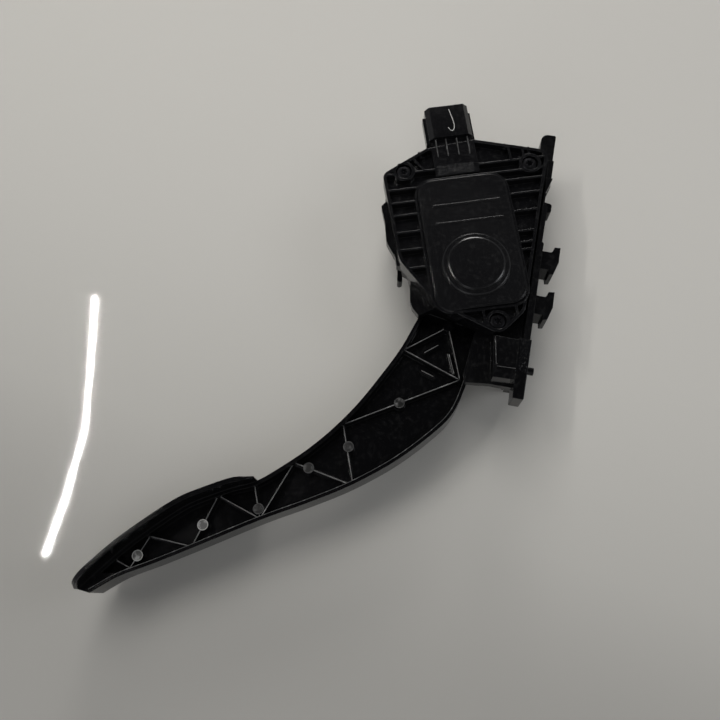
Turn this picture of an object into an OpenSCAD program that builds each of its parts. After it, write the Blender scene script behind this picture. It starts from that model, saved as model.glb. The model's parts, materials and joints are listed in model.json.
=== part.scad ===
// Hanging accelerator pedal with its own position sensor.
// +Y points forwards into the bulkhead, +Z is up, and X runs along the pivot axis.
// The origin lies on the mounting face, level with the pivot, on the arm's mid plane.

/* [Mounting] */
// Distance from the mounting face back to the pivot axis
pivot_back = 33.5; // [32.5:0.5:36]
// Thickness of the mounting flange
flange_t = 6; // [5:0.5:7]
// Bore radius of the steel bolt sleeves
bolt_r = 3.3; // [3:0.1:3.6]
// Wall of the steel bolt sleeves
sleeve_wall = 1.5; // [1:0.1:1.8]
// Width of the upper mounting ear
ear_w = 20; // [18:0.5:21]
// Width of the lower mounting ear
low_ear_w = 14; // [13.5:0.5:16]
// Height of the upper bolt above the pivot
upper_bolt_z = 87; // [85:1:90]
// Depth of the lower bolt below the pivot
lower_bolt_z = 40; // [32:1:48]
// How far the two hooks reach past the mounting face
hook_reach = 9.2; // [8:0.1:10]
// Height from one hook to the next
hook_pitch = 26; // [25:0.5:27]

/* [Pedal arm] */
// Width of the arm over its flanges
arm_w = 18; // [17:0.5:19]
// Thickness of the web in the middle of the arm
web_t = 3; // [2:0.25:4]
// Thickness of the flange round the arm
rim_t = 2; // [1.8:0.1:2.8]
// Width of the zigzag stiffening ribs
rib_t = 1.4; // [1:0.1:1.8]
// Radius of the round pads on the ribs
pad_disc_r = 2.8; // [2.2:0.1:3.2]
// Width of the foot plate
foot_w = 44; // [38:1:50]
// Thickness of the foot plate
foot_t = 2.4; // [2.2:0.1:3.4]
// Radius of the arm's hub
hub_r = 13; // [12:0.25:13.5]
// Angle that the pedal can be pressed
press_deg = 16; // [14:0.5:16]

/* [Pivot] */
// Radius of the steel pivot shaft
shaft_r = 4; // [3.5:0.1:4.3]
// Wall of the two plain bushes
bush_wall = 2; // [1.5:0.1:2.4]
// Radial running clearance of the shaft
shaft_gap = 0.04; // [0.02:0.01:0.08]
// Thickness of the bush collars beside the hub
collar_t = 1.2; // [0.8:0.1:1.3]

/* [Housing] */
// Room beside the arm's flanges
side_gap = 1.5; // [1.4:0.1:2]
// Wall of the moulded bracket
wall_t = 3; // [2.5:0.1:3.4]
// Thickness of the near cheek
cheek_t = 5; // [4.5:0.25:6]
// Thickness of the ribbed sensor housing
plate_t = 9; // [8.8:0.1:9.6]
// Depth of the pockets between its ribs
pocket_d = 4.5; // [3:0.25:5]
// Thickness of its ribs
plate_rib_t = 1.2; // [0.9:0.1:1.6]
// Thickness of its rim
plate_rim_t = 1.6; // [1.2:0.1:2]
// Lean of the sensor housing and the connector
lean = 18.5; // [18:0.25:19]

/* [Sensor] */
// Width of the lid
lid_w = 48; // [47:0.5:49]
// Height of the lid
lid_h = 76.5; // [75.5:0.5:77]
// Corner radius of the lid
lid_r = 9; // [6:0.5:10]
// Radius of the round step on the lid
disc_r = 17.6; // [16.5:0.1:18.5]
// Width of the connector shell
shell_w = 24.2; // [22.6:0.2:24.6]
// Depth of the connector shell
shell_d = 15.5; // [15:0.1:16]
// Length of the connector shell
shell_l = 20; // [17:0.2:21]
// Wall of the connector shell
shell_wall = 1.6; // [1.3:0.1:1.8]
// Thickness of the square contact pins
pin_t = 0.8; // [0.6:0.05:1]
// Thickness of the circuit board
board_t = 1.6; // [1.2:0.1:1.8]

/* [Return spring] */
// Length of the lever above the pivot
lever_r = 31; // [30:0.25:32]
// Radius of the lever's round nose
nose_r = 6; // [5.5:0.1:6.5]
// Mean radius of the outer coil
outer_coil_r = 8; // [7.8:0.1:8.4]
// Radius of the outer wire
outer_wire_r = 0.95; // [0.8:0.05:1]
// Mean radius of the inner coil
inner_coil_r = 5; // [4.8:0.1:5.4]
// Radius of the inner wire
inner_wire_r = 0.65; // [0.5:0.05:0.75]
// Coils of each spring
coils = 6; // [5:1:6]
// Thickness of the elastomer stop pads
stop_t = 1.7; // [1.4:0.1:2]

/* [Hidden] */
$fn = 48;
arc_step = 12;
eps = 0.02;
contact_gap = 0.3;
fit_gap = 0.2;
pin_gap = 0.05;
step = 0.15;

// Lateral levels, from the far side to the near side
arm_half = arm_w / 2;
cavity_half = arm_half + side_gap;
far_x = -cavity_half - wall_t;
cheek_x = cavity_half + cheek_t;
plate_x = cheek_x + plate_t;
lid_seat_x = plate_x - 0.5;
lid_wall_x = plate_x + 0.7;
lid_x = lid_seat_x + 3;
disc_step = 1.2;
floor_x = cheek_x + 3;
board_x = floor_x + 2.7;
chip_t = 0.8;
magnet_x = board_x - chip_t - 0.4;
bush_end_x = cheek_x + 1.2;

// Side view sizes that follow the parts above
sleeve_r = bolt_r + sleeve_wall;
bush_r = shaft_r + bush_wall;
boss_r = bush_r + 4;
lower_bolt_x = far_x - low_ear_w / 2;
lower_cheek_t = cheek_t - step;
block_x = plate_x + 2;
lug_x = block_x - 14;
lug_z = -67.4;
stop_low = [21.9, -52];
stop_high = [20.1, -43];
plate_setback = 5;
lid_bottom = -23.5;
lid_top = lid_bottom + lid_h;
chamber_wall = 3;
shell_x = cheek_x + 3;
shell_bottom = 79.6;
shell_top = shell_bottom + shell_l;
swing = press_deg / 2;
nose_y = lever_r * sin(swing);
slide_z = lever_r * cos(swing);
slider_face = nose_y - nose_r - contact_gap;
slider_l = 12;
slider_h = 20;
slider_half = arm_half + 0.5;
friction_t = 1.5;
spring_pocket = 2;
seat_y = -44.8;
seat_t = 2;
spring_from = seat_y + seat_t;
spring_to = slider_face - slider_l + spring_pocket;
stop_face = nose_y + nose_r + contact_gap;
top_edge_z = 77;
ear_top_z = upper_bolt_z + 10.5;
low_ear_h = 15;

// Points of the side view, measured from the pivot as [y, z]
// Foot side of the arm, from the hub to the tip
foot_side = [[-12.6, 3], [-17, -8], [-21.5, -18], [-25.2, -29.7], [-30, -44.9], [-35.4, -57.5], [-45.1, -77.2],
             [-53.6, -91.2], [-63.2, -104.1], [-73.6, -115.5], [-88, -128.8], [-99.1, -134.5], [-109.4, -140.6],
             [-119.5, -147.4], [-130.4, -158], [-143.1, -172.1], [-153.2, -185.8], [-160.4, -196.4]];
// Heel side of the arm, from the hub to the tip
heel_side = [[12.6, -3], [10, -16], [8.6, -30], [7.2, -48], [5.6, -62], [2.2, -75], [-4.6, -86], [-21, -104.5],
             [-40.5, -121], [-60, -134], [-82, -147.3], [-111, -166.6], [-129, -178.3], [-143, -187],
             [-154.2, -196.8]];
// Joints of the zigzag ribs
rib_runs = [[[-150, -179], [-139.4, -181.9], [-134, -165.5], [-112.4, -166.2], [-106, -139.5], [-82.8, -146.5],
             [-72.5, -116]],
            [[-82.8, -146.5], [-90, -129.5]],
            [[-72.5, -116], [-40.8, -121.5], [-52.2, -91.8], [2.6, -56.8], [-29, -46], [-8, -28.8], [2.6, -56.8]]];
// Short ribs that stand lower than the zigzag
short_ribs = [[[-18, -45.4], [-11.3, -39.6]], [[-18.2, -55.4], [-11.2, -57.5]], [[-5.6, -43.2], [-1, -54.2]]];
// Round pads on the ribs
rib_discs = [[-137.4, -175.6], [-109.8, -155], [-84.6, -142], [-64.6, -117.2], [-47.1, -102.7], [-26, -75.2],
             [-8.2, -28.8]];

// Corners of the sensor housing in its leaning frame as [p, q, radius]
plate_corners = [[-40.8, 61.8, 5], [-38.8, 9, 12], [-23.5, -18, 4], [6, -39, 6],
                 lean_corner(pivot_back - plate_setback, -20, 6), lean_corner(pivot_back - plate_setback, top_edge_z, 5),
                 [12, 76.6, 2], [-15, 74.4, 6]];
// Corners that the near wall and the box behind it share, from the lower edge round to the top left
shared_corners = [[-23.5, -17, 4], [6, -38, 5], lean_corner(pivot_back - 2.6, -28, 1),
                  lean_corner(pivot_back - 2.6, top_edge_z - 1, 2), [12, 74.8, 2], [-15, 72.2, 6]];
// Corners of the near wall on the foot side; the arch is cut out of it
near_corners = concat([[-39.6, 60.3, 4], [-40.2, 50, 1], [-43.4, 47.4, 1], [-42.8, 37.4, 3], [-43.5, 25, 1],
                       [-40, 15.2, 1], [-40.1, 7, 1], [-34, 2, 1], [-35.8, -11.6, 2], [-35.2, -15, 2],
                       [-32.6, -19.7, 1]], shared_corners);
// Corners of the box on the foot side, where it stands back from the near wall
far_corners = concat([[-39.2, 60.3, 4], [-40.6, 51, 2], [-40.6, 38.4, 2], [-37.6, 31, 2], [-37.6, 19.5, 1.5],
                      [-32.4, 15.5, 3], [-31.6, -4, 2], [-28.4, -12, 2]], shared_corners);
arch_centre = [-43.3, 1.3];
arch_r = 9.5;
// Screws of the sensor housing in the same frame
screw_places = [[40, 57.5], [-29, 62], [6, -31.5]];
left_rib_q = [50.2, 42.1, 34.4, 24.1, 13.7, 2.9];
right_rib_q = [53.4, 47.8, 39.2, 28.6, 16.5, 10, 5.8];
band_q = 60;

// Point and outline helpers
function unit(v) = v / norm(v);
function wrapped(list, i) = list[(i + len(list)) % len(list)];
function flat(corner) = [corner[0], corner[1]];
function lean_corner(y, z, r) = [y * cos(lean) + z * sin(lean), -y * sin(lean) + z * cos(lean), r];
function turn_left(v) = [-v[1], v[0]];
function behind_stop(place, d) = place - d * turn_left(unit(stop_high - stop_low));
function short_way(a) = a > 180 ? a - 360 : a < -180 ? a + 360 : a;

// Arc that rounds the corner b between its neighbours a and c, limited by the shorter edge
function corner_arc(a, b, c, r) =
    let (u = unit(a - b), v = unit(c - b), half = acos(u * v) / 2)
    let (fit = min(r, 0.48 * min(norm(a - b), norm(c - b)) * tan(half)))
    let (centre = b + unit(u + v) * fit / sin(half), start = b + u * fit / tan(half) - centre)
    let (end = b + v * fit / tan(half) - centre, from = atan2(start[1], start[0]))
    let (sweep = short_way(atan2(end[1], end[0]) - from), n = max(1, ceil(abs(sweep) / arc_step)))
    [for (i = [0:n]) centre + fit * [cos(from + sweep * i / n), sin(from + sweep * i / n)]];

function rounded(corners) =
    [for (i = [0:len(corners) - 1])
        each corner_arc(flat(wrapped(corners, i - 1)), flat(corners[i]), flat(wrapped(corners, i + 1)), corners[i][2])];

// Corners moved inwards by d, for an outline that runs anticlockwise
function inset(corners, d) =
    [for (i = [0:len(corners) - 1])
        let (b = flat(corners[i]), u = unit(b - flat(wrapped(corners, i - 1))))
        let (v = unit(flat(wrapped(corners, i + 1)) - b), bend = u[0] * v[1] - u[1] * v[0])
        let (move = (turn_left(u) + turn_left(v)) / (1 + u * v) * d)
        [b[0] + move[0], b[1] + move[1], max(0.3, corners[i][2] - sign(bend) * d)]];

function box_corners(w, low, high, r) = [[-w / 2, low, r], [w / 2, low, r], [w / 2, high, r], [-w / 2, high, r]];

// Smooth curve through points, with n steps between neighbours
function blend_point(a, b, c, d, t) =
    0.5 * ((2 * b) + (c - a) * t + (2 * a - 5 * b + 4 * c - d) * t * t + (3 * b - a - 3 * c + d) * t * t * t);
function smooth(points, n) =
    let (last = len(points) - 1)
    [for (i = [0:last - 1]) for (k = [0:n - 1])
        blend_point(points[max(0, i - 1)], points[i], points[i + 1], points[min(last, i + 2)], k / n),
     points[last]];
// The same curve moved sideways by d, to the left of its direction
function beside(curve, d) =
    [for (i = [0:len(curve) - 1])
        curve[i] + d * turn_left(unit(curve[min(len(curve) - 1, i + 1)] - curve[max(0, i - 1)]))];
function part_of(list, from, to) = [for (i = [from:to]) list[i]];
function backwards(list) = [for (i = [len(list) - 1:-1:0]) list[i]];

// Extrudes a side view between two lateral levels
module slab(from, to) {
    translate([from, 0, 0]) rotate([90, 0, 90]) linear_extrude(to - from) children();
}

// Cylinder along the pivot direction at a side view point
module across(from, to, r, at = [0, 0]) {
    translate([from, at[0], at[1]]) rotate([0, 90, 0]) cylinder(h = to - from, r = r);
}

// Cylinder along the mounting direction
module along_y(from, to, r, x, z) {
    translate([x, from, z]) rotate([-90, 0, 0]) cylinder(h = to - from, r = r);
}

// Straight rib in a side view
module bar(a, b, w) {
    translate(a) rotate(atan2(b[1] - a[1], b[0] - a[0])) translate([-w / 2, -w / 2]) square([norm(b - a) + w, w]);
}

module at_pivot() {
    translate([0, -pivot_back, 0]) children();
}

module leaning() {
    at_pivot() rotate([lean, 0, 0]) children();
}

// Bracket moulded with its flange, ears, hooks and cheeks
module near_outline() {
    difference() {
        polygon(rounded(near_corners));
        translate(arch_centre) circle(r = arch_r);
    }
}

module far_outline(d = 0) {
    polygon(rounded(d == 0 ? far_corners : inset(far_corners, d)));
}

module cheek_outline() {
    y1 = pivot_back - 0.5;
    polygon([[7, -20], [7, -30], [5.6, -33.5], [3.4, -55.5], [5, -60.4], [17.5, -59], [y1, -59], [y1, -20]]);
}

// Line of the mounting side, where it stands back between the hooks and the upper ear
function mount_steps(d) = [[-d, 20], [-0.9 - d, 21], [-0.7 - d, 42], [-2.5 - d, 45], [-2.6 - d, 50.5], [-d, 60]];
module flange_outline() {
    back = -flange_t;
    polygon(concat([[back, -53], [0, -53]], mount_steps(0), [[0, top_edge_z], [back, top_edge_z]]));
}

module upper_ear() {
    half = ear_w / 2;
    slab(-half, half) polygon(rounded([[-8, 66, 1], [0, 66, 0.3], [0, ear_top_z, 1], [-8, ear_top_z, 4]]));
    for (side = [-1, 1])
        translate([side * (half - 1.2), 0, 0]) slab(-0.9, 0.9) polygon([[-13, 70], [-7, 70], [-7, 81.5]]);
}

module lower_block() {
    slab(lug_x, block_x)
        polygon(rounded([[-5.4, lug_z, 0.6], [0, lug_z, 0.6], [0, -36, 0.3], [-6.3, -36, 0.3]]));
    slab(cheek_x - 1, block_x - 0.9) polygon([[-18.9, -36.4], [-16.2, -58.2], [-1.3, -57.6], [-1.3, -36.4]]);
    slab(block_x - 4, block_x - step)
        polygon(rounded([[-18.2, -36.8, 0.6], [-15.5, -52.7, 1], [-2.5, -52.2, 1], [-2.5, -36.8, 0.6]]));
}

module far_ear() {
    x0 = lower_bolt_x - low_ear_w / 2;
    z0 = -lower_bolt_z - low_ear_h / 2;
    slab(x0, far_x + 1)
        polygon(rounded([[-flange_t, z0, 0.8], [0, z0, 1], [0, z0 + low_ear_h, 1], [-flange_t, z0 + low_ear_h, 0.8]]));
    slab(far_x - step, far_x + 2) polygon([[-20, -27.5], [-flange_t + 0.5, -49], [-flange_t + 0.5, -27.5]]);
}

module hook(z) {
    slab(7, 20)
        translate([0, z])
            polygon([[-3.2, 0], [4.6, 0], [5, -2.6], [7.2, -2.2], [hook_reach, 5], [hook_reach - 0.1, 13.6],
                     [6.1, 13.4], [5.3, 10.9], [4.6, 10.2], [-3.2, 10.2]]);
}

// Rails that guide the spring slider, the wall that carries its spring and the post of the rest stop
module slide_walls() {
    reach = slider_h / 2 + friction_t + contact_gap;
    post = stop_face + stop_t;
    translate([seat_y - 1, slide_z - reach - 2]) square([slider_face - 4 - seat_y, 2]);
    translate([seat_y - 1, slide_z + reach]) square([slider_face - 1 - seat_y, 2]);
    translate([seat_y - 12, slide_z - reach - 2]) square([12, 2 * reach + 4]);
    translate([post, slide_z - 6]) square([3, 12]);
    translate([post, slide_z - 1]) square([pivot_back - post, 2]);
}

module far_ribs() {
    for (angle = [20:40:340])
        slab(far_x - 2.5, far_x + 0.5) bar([boss_r * cos(angle), boss_r * sin(angle)], [60 * cos(angle), 60 * sin(angle)], 1.6);
}

module main_housing() {
    color([0.07, 0.07, 0.08])
    difference() {
        union() {
            leaning() {
                slab(far_x, -cavity_half) far_outline();
                slab(cavity_half, cheek_x) near_outline();
                intersection() {
                    slab(-cavity_half - 1, cavity_half + 1)
                        difference() {
                            far_outline();
                            far_outline(wall_t);
                        }
                    rotate([-lean, 0, 0]) translate([-30, -80, -3]) cube([60, 140, 120]);
                }
                intersection() {
                    slab(far_x - 2.5, far_x + 0.5)
                        difference() {
                            far_outline();
                            far_outline(2);
                        }
                    rotate([-lean, 0, 0]) translate([-30, -80, -24]) cube([60, 140, 120]);
                }
                intersection() {
                    far_ribs();
                    slab(far_x - 3, far_x + 1) far_outline();
                }
                across(far_x - 3, far_x + 0.5, boss_r);
                slab(-cavity_half + 0.5, -2)
                    polygon(rounded([[-39.8, 8.6, 1.6], [-36.5, 8.6, 1.6], [-36.4, 20.5, 0.3], [-37.6, 20.5, 0.3]]));
                intersection() {
                    slab(-cavity_half - 0.5, arm_half) rotate(-lean) slide_walls();
                    slab(-cavity_half - 1, cavity_half + 1) far_outline();
                }
            }
            at_pivot() slab(cheek_x - lower_cheek_t, cheek_x - step) cheek_outline();
            slab(far_x + step, cheek_x - 2 * step) flange_outline();
            slab(cheek_x - 1, plate_x - 0.8) polygon(concat([[-3.8, -40], [-0.4, -40]], mount_steps(0.4), [[-3.8, 60]]));
            upper_ear();
            lower_block();
            far_ear();
            hook(7.4);
            hook(7.4 - hook_pitch);
            along_y(-1, 4, 2, 18, -49.5);
            at_pivot() slab(-arm_half + 2, arm_half - 2)
                polygon([behind_stop(stop_low, stop_t), behind_stop(stop_high, stop_t),
                         [pivot_back - flange_t + 0.5, -40], [pivot_back - flange_t + 0.5, -52.6]]);
            slab(5, 14) polygon(rounded([[-4, 44.4, 0.3], [2.4, 44.8, 1], [2.4, 50, 1.5], [-4, 51.2, 0.3]]));
        }
        // Window that the mechanism goes in through, closed by the sensor housing
        leaning() slab(cavity_half - eps, cheek_x + 1)
            difference() {
                polygon(rounded(inset(plate_corners, 7)));
                for (place = screw_places) translate(place) circle(r = 6);
            }
        at_pivot() across(far_x - 6, 0, bush_r);
        at_pivot() translate([0, seat_y, slide_z]) rotate([-90, 0, 0])
            cylinder(h = 6, r = outer_coil_r + 1.2 + contact_gap);
        along_y(-9, 1, sleeve_r, 0, upper_bolt_z);
        along_y(-9, 1, sleeve_r, lower_bolt_x, -lower_bolt_z);
        leaning() for (place = screw_places) across(cheek_x - 4.6, cheek_x + 1, 1.9, place);
    }
}

// Ribbed sensor housing with its connector
module lid_outline(grow) {
    polygon(rounded(box_corners(lid_w + 2 * grow, lid_bottom - grow, lid_top + grow, lid_r + grow)));
}

module plate_pockets() {
    difference() {
        polygon(rounded(inset(plate_corners, plate_rim_t)));
        lid_outline(1.6);
        translate([-12, 56]) square([24, 24]);
        for (place = screw_places) translate(place) circle(r = 6);
        for (q = left_rib_q) translate([-45, q]) square([30, plate_rib_t]);
        for (q = right_rib_q) translate([15, q]) square([34, plate_rib_t]);
        translate([-45, band_q]) square([95, plate_rib_t]);
        for (p = [-35, 29.4, 36.8]) translate([p, band_q]) square([plate_rib_t, 20]);
        bar([-24.4, 71.5], [-18.2, 61.5], plate_rib_t);
        for (p = [-12, -1]) translate([p, -40]) square([plate_rib_t, 18]);
        translate([16, -40]) square([plate_rib_t, 60]);
    }
}

module shell_outline(grow) {
    half = shell_w / 2 + grow;
    deep = shell_d / 2 + grow;
    cut = 2.6;
    polygon([[-deep, -half], [deep - cut, -half], [deep, cut - half], [deep, half - cut], [deep - cut, half], [-deep, half]]);
}

module connector_body() {
    translate([shell_x, 0, shell_bottom]) linear_extrude(shell_l) shell_outline(0);
    for (side = [-1, 1])
        translate([shell_x - 2.5, side * (shell_w / 2 + 0.6) - 0.8, shell_bottom - 0.4]) cube([5, 1.6, shell_l - 2.6]);
    // Neck between the plate and the shell, with its four upright ribs
    slab(cheek_x, shell_x + 1) translate([-8.6, 60]) square([17.2, shell_bottom - 59]);
    slab(shell_x + 0.8, plate_x - 1.5) translate([-10.8, 60]) square([21.6, shell_bottom - 59]);
    for (p = [-8.8, -3, 3, 8.8])
        slab(plate_x - 2, plate_x - 0.2) translate([p - 0.5, 66]) square([1, shell_bottom - 65.5]);
    slab(plate_x - 2, plate_x - 0.4) translate([-10.8, 57.5]) square([21.6, 7]);
}

module pin_path(row, column, grow) {
    p = (column - 1) * 5.4;
    x = shell_x + 0.4 + (row - 0.5) * 3.6;
    bend = lid_top - 11.2 + row * 3.2;
    half = pin_t / 2 + grow;
    translate([x - half, p - half, bend - half]) cube([2 * half, 2 * half, shell_top - 4.5 - bend + grow]);
    translate([x - half, p - half, bend - half]) cube([board_x + board_t + 0.6 - x + half, 2 * half, 2 * half]);
}

module all_pins(grow) {
    for (row = [0, 1]) for (column = [0:2]) pin_path(row, column, grow);
}

board_posts = [for (p = [-17, 17]) for (q = [lid_bottom + 7.5, lid_top - 9]) [p, q]];

module sensor_housing() {
    color([0.09, 0.09, 0.1])
    leaning()
    difference() {
        union() {
            difference() {
                slab(cheek_x, plate_x) polygon(rounded(plate_corners));
                slab(plate_x - pocket_d, plate_x + 1) plate_pockets();
            }
            slab(plate_x - 1, lid_wall_x) lid_outline(1.5);
            across(cavity_half, cheek_x + 0.5, boss_r);
            connector_body();
            // Ends of the ribs that show on the upper edge
            slab(cheek_x + 2, plate_x - 1) {
                bar([-18.4, 70], [-18.8, 72.9], 1.4);
                bar([-30.2, 64.5], [-30.9, 67], 1.4);
                bar([28.5, 69], [28.5, 71.5], 1.4);
                bar([41, 65], [41, 67.6], 1.4);
            }
        }
        slab(lid_seat_x, lid_wall_x + 1) lid_outline(fit_gap);
        difference() {
            slab(floor_x, plate_x + 1)
                polygon(rounded(box_corners(lid_w - 2 * chamber_wall, lid_bottom + chamber_wall, lid_top - chamber_wall, 6)));
            for (post = board_posts) across(floor_x - 0.5, board_x, 2.4, post);
            for (post = board_posts) across(floor_x - 0.5, board_x + board_t + 0.6, 1.2, post);
        }
        slab(cheek_x + 0.9, floor_x + 1) translate([-8, lid_top - 14]) square([16, 9]);
        across(bush_end_x, floor_x + 1, boss_r - 0.2);
        across(cavity_half - 1, bush_end_x + 1, bush_r);
        translate([shell_x, 0, shell_bottom + 2.4])
            linear_extrude(shell_l) shell_outline(-shell_wall);
        all_pins(pin_gap);
        for (place = screw_places) {
            across(cheek_x - 1, plate_x + 1, 2.1, place);
            across(plate_x - 3, plate_x + 1, 4.4, place);
        }
    }
}

module sensor_lid() {
    color([0.06, 0.06, 0.07])
    leaning()
    difference() {
        union() {
            slab(lid_seat_x, lid_x - 0.8) lid_outline(0);
            slab(lid_x - 0.85, lid_x) lid_outline(-0.7);
            translate([lid_x - 0.1, 0, 0]) rotate([0, 90, 0])
                rotate_extrude()
                    polygon([[0, 0], [disc_r, 0], [disc_r, disc_step - 0.3], [disc_r - 0.6, disc_step + 0.1],
                             [disc_r - 2.6, disc_step + 0.1], [disc_r - 2.9, 2 * disc_step - 0.2],
                             [disc_r - 3.7, 2 * disc_step + 0.1], [0, 2 * disc_step + 0.1]]);
            for (q = [25.6, 36.4])
                slab(lid_x - 0.2, lid_x + 0.4) translate([-17, q - 0.6]) square([36, 1.2]);
        }
        // Slope towards the lower foot-side corner
        translate([lid_x, -20.7, -10.3]) rotate([-29, 0, 0]) rotate([0, 10, 0]) translate([0, -20, -30]) cube([8, 60, 30]);
        slab(lid_seat_x - 1, lid_x - 1.6) lid_outline(-2.2);
        across(lid_seat_x, lid_x + 0.9, disc_r - 4.5);
    }
}

// Screws with six-lobed sockets
module cover_screws() {
    seat = plate_x - 3;
    color([0.3, 0.3, 0.32])
    leaning()
    for (place = screw_places)
        difference() {
            union() {
                across(cheek_x - 4.5, seat + 0.1, 1.85, place);
                across(seat, seat + 1.6, 4, place);
                translate([seat + 1.6, place[0], place[1]]) rotate([0, 90, 0]) cylinder(h = 0.8, r1 = 4, r2 = 3, $fn = 32);
            }
            across(seat + 0.9, seat + 3, 1.35, place);
            for (lobe = [0:60:300]) across(seat + 0.9, seat + 3, 0.5, place + 1.4 * [cos(lobe), sin(lobe)]);
        }
}

module sleeve(depth, x, z) {
    difference() {
        along_y(-depth, 0, sleeve_r, x, z);
        along_y(-depth - 1, 1, bolt_r, x, z);
    }
}

module bolt_sleeves() {
    color("silver") {
        sleeve(8, 0, upper_bolt_z);
        sleeve(flange_t, lower_bolt_x, -lower_bolt_z);
    }
}

// Plain bushes with a collar beside the hub
module bush(from, to, collar_from) {
    difference() {
        union() {
            across(from, to, bush_r);
            across(collar_from, collar_from + collar_t, bush_r + 2);
        }
        across(from - 2, to + 2, shaft_r + shaft_gap);
    }
}

module near_bush() {
    color([0.75, 0.7, 0.55]) at_pivot() bush(cavity_half - collar_t, bush_end_x, cavity_half - collar_t);
}

module far_bush() {
    color([0.75, 0.7, 0.55]) at_pivot() bush(far_x - 3, -cavity_half + collar_t, -cavity_half);
}

module circuit_board() {
    outline = box_corners(lid_w - 2 * chamber_wall - 1, lid_bottom + chamber_wall + 0.5, lid_top - chamber_wall - 0.5, 5.5);
    color([0.08, 0.3, 0.14])
    leaning()
    difference() {
        slab(board_x, board_x + board_t) polygon(rounded(outline));
        for (post = board_posts) across(board_x - 1, board_x + board_t + 1, 1.3, post);
        all_pins(pin_gap);
    }
}

module hall_chips() {
    color([0.12, 0.12, 0.12])
    leaning() for (side = [-1, 1])
        translate([board_x - chip_t, side * 2.8 - 2.2, -2.5]) cube([chip_t, 4.4, 5]);
}

module board_parts() {
    top = board_x + board_t;
    limit = lid_x - 2.2 - top;
    color([0.6, 0.5, 0.35])
    leaning() {
        for (q = [14:6:32]) for (p = [-11, 11]) translate([top, p - 1.6, q]) cube([min(0.9, limit), 3.2, 1.6]);
        translate([top, -6, 18]) cube([min(0.9, limit), 12, 8]);
        for (p = [-6, 0, 6]) translate([top, p - 0.8, -14]) cube([min(0.9, limit), 1.6, 3.2]);
    }
}

module connector_pins() {
    color([0.85, 0.75, 0.45]) leaning() all_pins(0);
}

// Seat, pads and stops of the return spring
module spring_seat() {
    color([0.2, 0.2, 0.22])
    at_pivot() translate([0, seat_y, slide_z]) rotate([-90, 0, 0]) {
        cylinder(h = seat_t, r = outer_coil_r + 1.2);
        cylinder(h = seat_t + 4, r = inner_coil_r - inner_wire_r - 0.4);
    }
}

module rest_stop_pad() {
    color([0.25, 0.12, 0.1])
    at_pivot() slab(-arm_half + 1, arm_half - 1) translate([stop_face, slide_z - 5]) square([stop_t, 10]);
}

module full_stop_pad() {
    color([0.25, 0.12, 0.1])
    at_pivot() slab(-arm_half + 1, arm_half - 1)
        polygon([stop_low, stop_high, behind_stop(stop_high, stop_t), behind_stop(stop_low, stop_t)]);
}

// Pedal arm moulded in one piece with its foot plate
foot_curve = smooth(foot_side, 4);
heel_curve = smooth(heel_side, 4);
foot_from = 40;
foot_last = len(foot_curve) - 1;
heel_last = len(heel_curve) - 1;

module arm_outline() {
    polygon(concat(backwards(foot_curve), heel_curve));
}

module arm_pockets() {
    foot_inner = part_of(beside(foot_curve, rim_t), 9, foot_last - 4);
    heel_inner = part_of(beside(heel_curve, -rim_t), 7, heel_last - 4);
    polygon(concat(backwards(foot_inner), heel_inner));
}

module arm_ribs() {
    for (run = rib_runs) for (i = [0:len(run) - 2]) bar(run[i], run[i + 1], rib_t);
}

module foot_plate() {
    length = 101.7;
    middle = [-125.7, -159.6];
    slope = atan2(64, 69);
    under = part_of(foot_curve, foot_from, foot_last);
    over = [for (i = [foot_from:foot_last]) beside(foot_curve, -foot_t * min(1, 0.3 + 0.3 * (i - foot_from)))[i]];
    intersection() {
        slab(-foot_w / 2, foot_w / 2) polygon(concat(under, backwards(over)));
        translate([0, middle[0], middle[1]]) rotate([slope, 0, 0]) translate([0, 0, -30])
            linear_extrude(60)
                polygon(rounded([[-foot_w / 2, -length / 2, 12], [foot_w / 2, -length / 2, 12],
                                 [foot_w / 2, length / 2, 9], [-foot_w / 2, length / 2, 9]]));
    }
}

module lever() {
    half = nose_r - 2.4;
    rotate([-swing, 0, 0]) {
        slab(-arm_half + 1, arm_half - 1) translate([-half, 0]) square([2 * half, lever_r]);
        across(-arm_half + 1, arm_half - 1, nose_r, [0, lever_r]);
    }
}

module pedal_arm() {
    color([0.05, 0.05, 0.06])
    at_pivot()
    difference() {
        union() {
            slab(-web_t / 2, web_t / 2) arm_outline();
            slab(-arm_half, arm_half) difference() {
                arm_outline();
                arm_pockets();
            }
            slab(-arm_half + 3, arm_half - 3) intersection() {
                arm_outline();
                arm_ribs();
            }
            slab(-arm_half + 4.5, arm_half - 4.5) for (rib = short_ribs) bar(rib[0], rib[1], rib_t);
            for (place = rib_discs) across(-arm_half + 2.6, arm_half - 2.6, pad_disc_r, place);
            across(-arm_half, arm_half, hub_r);
            lever();
            foot_plate();
        }
        across(-arm_half - 1, arm_half + 1, shaft_r);
    }
}

module pivot_shaft() {
    color("silver") at_pivot() difference() {
        across(far_x - 5, magnet_x - 1.6, shaft_r);
        difference() {
            across(far_x - 4.2, far_x - 3.2, shaft_r + 1);
            across(far_x - 5, far_x, shaft_r - 0.6);
        }
    }
}

module shaft_clip() {
    color([0.35, 0.35, 0.38]) at_pivot() difference() {
        across(far_x - 4.1, far_x - 3.3, shaft_r + 2.4);
        across(far_x - 6, far_x, shaft_r - 0.55);
        translate([far_x - 6, -1.6, -10]) cube([6, 3.2, 10]);
    }
}

module rotor_cup() {
    color([0.15, 0.15, 0.16]) at_pivot() difference() {
        across(bush_end_x + 0.3, magnet_x, boss_r - 1);
        across(bush_end_x, bush_end_x + 2, shaft_r);
        across(magnet_x - 1.5, magnet_x + 1, boss_r - 2.4);
    }
}

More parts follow.
